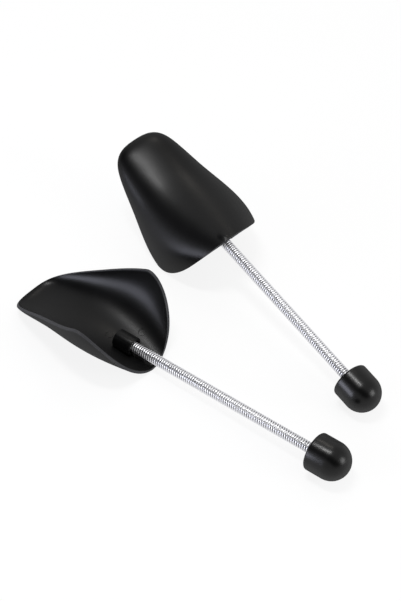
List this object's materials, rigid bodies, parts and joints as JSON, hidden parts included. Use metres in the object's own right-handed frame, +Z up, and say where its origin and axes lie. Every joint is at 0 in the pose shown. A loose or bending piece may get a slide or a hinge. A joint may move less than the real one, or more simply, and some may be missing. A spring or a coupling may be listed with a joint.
{
  "type": "shoe stretcher",
  "caption": "Spring shoe stretcher pair: thin moulded toe shells on long coil springs with domed heel knobs, lying side by side, upright and upturned.",
  "frame": {"origin": "centre of the pair's bounding box, on the surface that the stretchers lie on", "axes": "+Z up; +X from the upright stretcher's heel knob towards its toe; +Y from the upright stretcher towards the upturned one"},
  "size_m": [0.2986, 0.1882, 0.0601],
  "materials": {
    "shell_plastic": "satin",
    "spring_steel": "bright plated",
    "knob_plastic": "gloss"
  },
  "bodies": {
    "upright_toe": {"upright_toe_shell": "shell_plastic"},
    "upright_spring": {"upright_coil_spring": "spring_steel"},
    "upright_knob": {"upright_heel_knob": "knob_plastic"},
    "upturned_toe": {"upturned_toe_shell": "shell_plastic"},
    "upturned_spring": {"upturned_coil_spring": "spring_steel"},
    "upturned_knob": {"upturned_heel_knob": "knob_plastic"}
  },
  "joints": [
    {"name": "upright_spring_bend", "type": "hinge", "parent": "upright_toe", "child": "upright_spring", "pos_m": [0.02748, -0.04377, 0.03427], "axis": [0.1277, 0.9686, -0.2134], "range_deg": [-45, 45], "stiffness_Nm_per_rad": 0.035, "deforming": ["upright_coil_spring"]},
    {"name": "upright_spring_squeeze", "type": "slide", "parent": "upright_spring", "child": "upright_knob", "axis": [-0.984, 0.0968, -0.1494], "range_m": [-0.018, 0], "stiffness_N_per_m": 1390, "deforming": ["upright_coil_spring"]},
    {"name": "upturned_spring_bend", "type": "hinge", "parent": "upturned_toe", "child": "upturned_spring", "pos_m": [0.00131, 0.04823, 0.0101], "axis": [0.1607, -0.9854, -0.0557], "range_deg": [-45, 45], "stiffness_Nm_per_rad": 0.035, "deforming": ["upturned_coil_spring"]},
    {"name": "upturned_spring_squeeze", "type": "slide", "parent": "upturned_spring", "child": "upturned_knob", "axis": [-0.9865, -0.1622, 0.0245], "range_m": [-0.018, 0], "stiffness_N_per_m": 1390, "deforming": ["upturned_coil_spring"]},
    {"name": "upturned_lift", "type": "slide", "parent": "upright_toe", "child": "upturned_toe", "axis": [0, 0, 1], "range_m": [0, 0.15]}
  ]
}
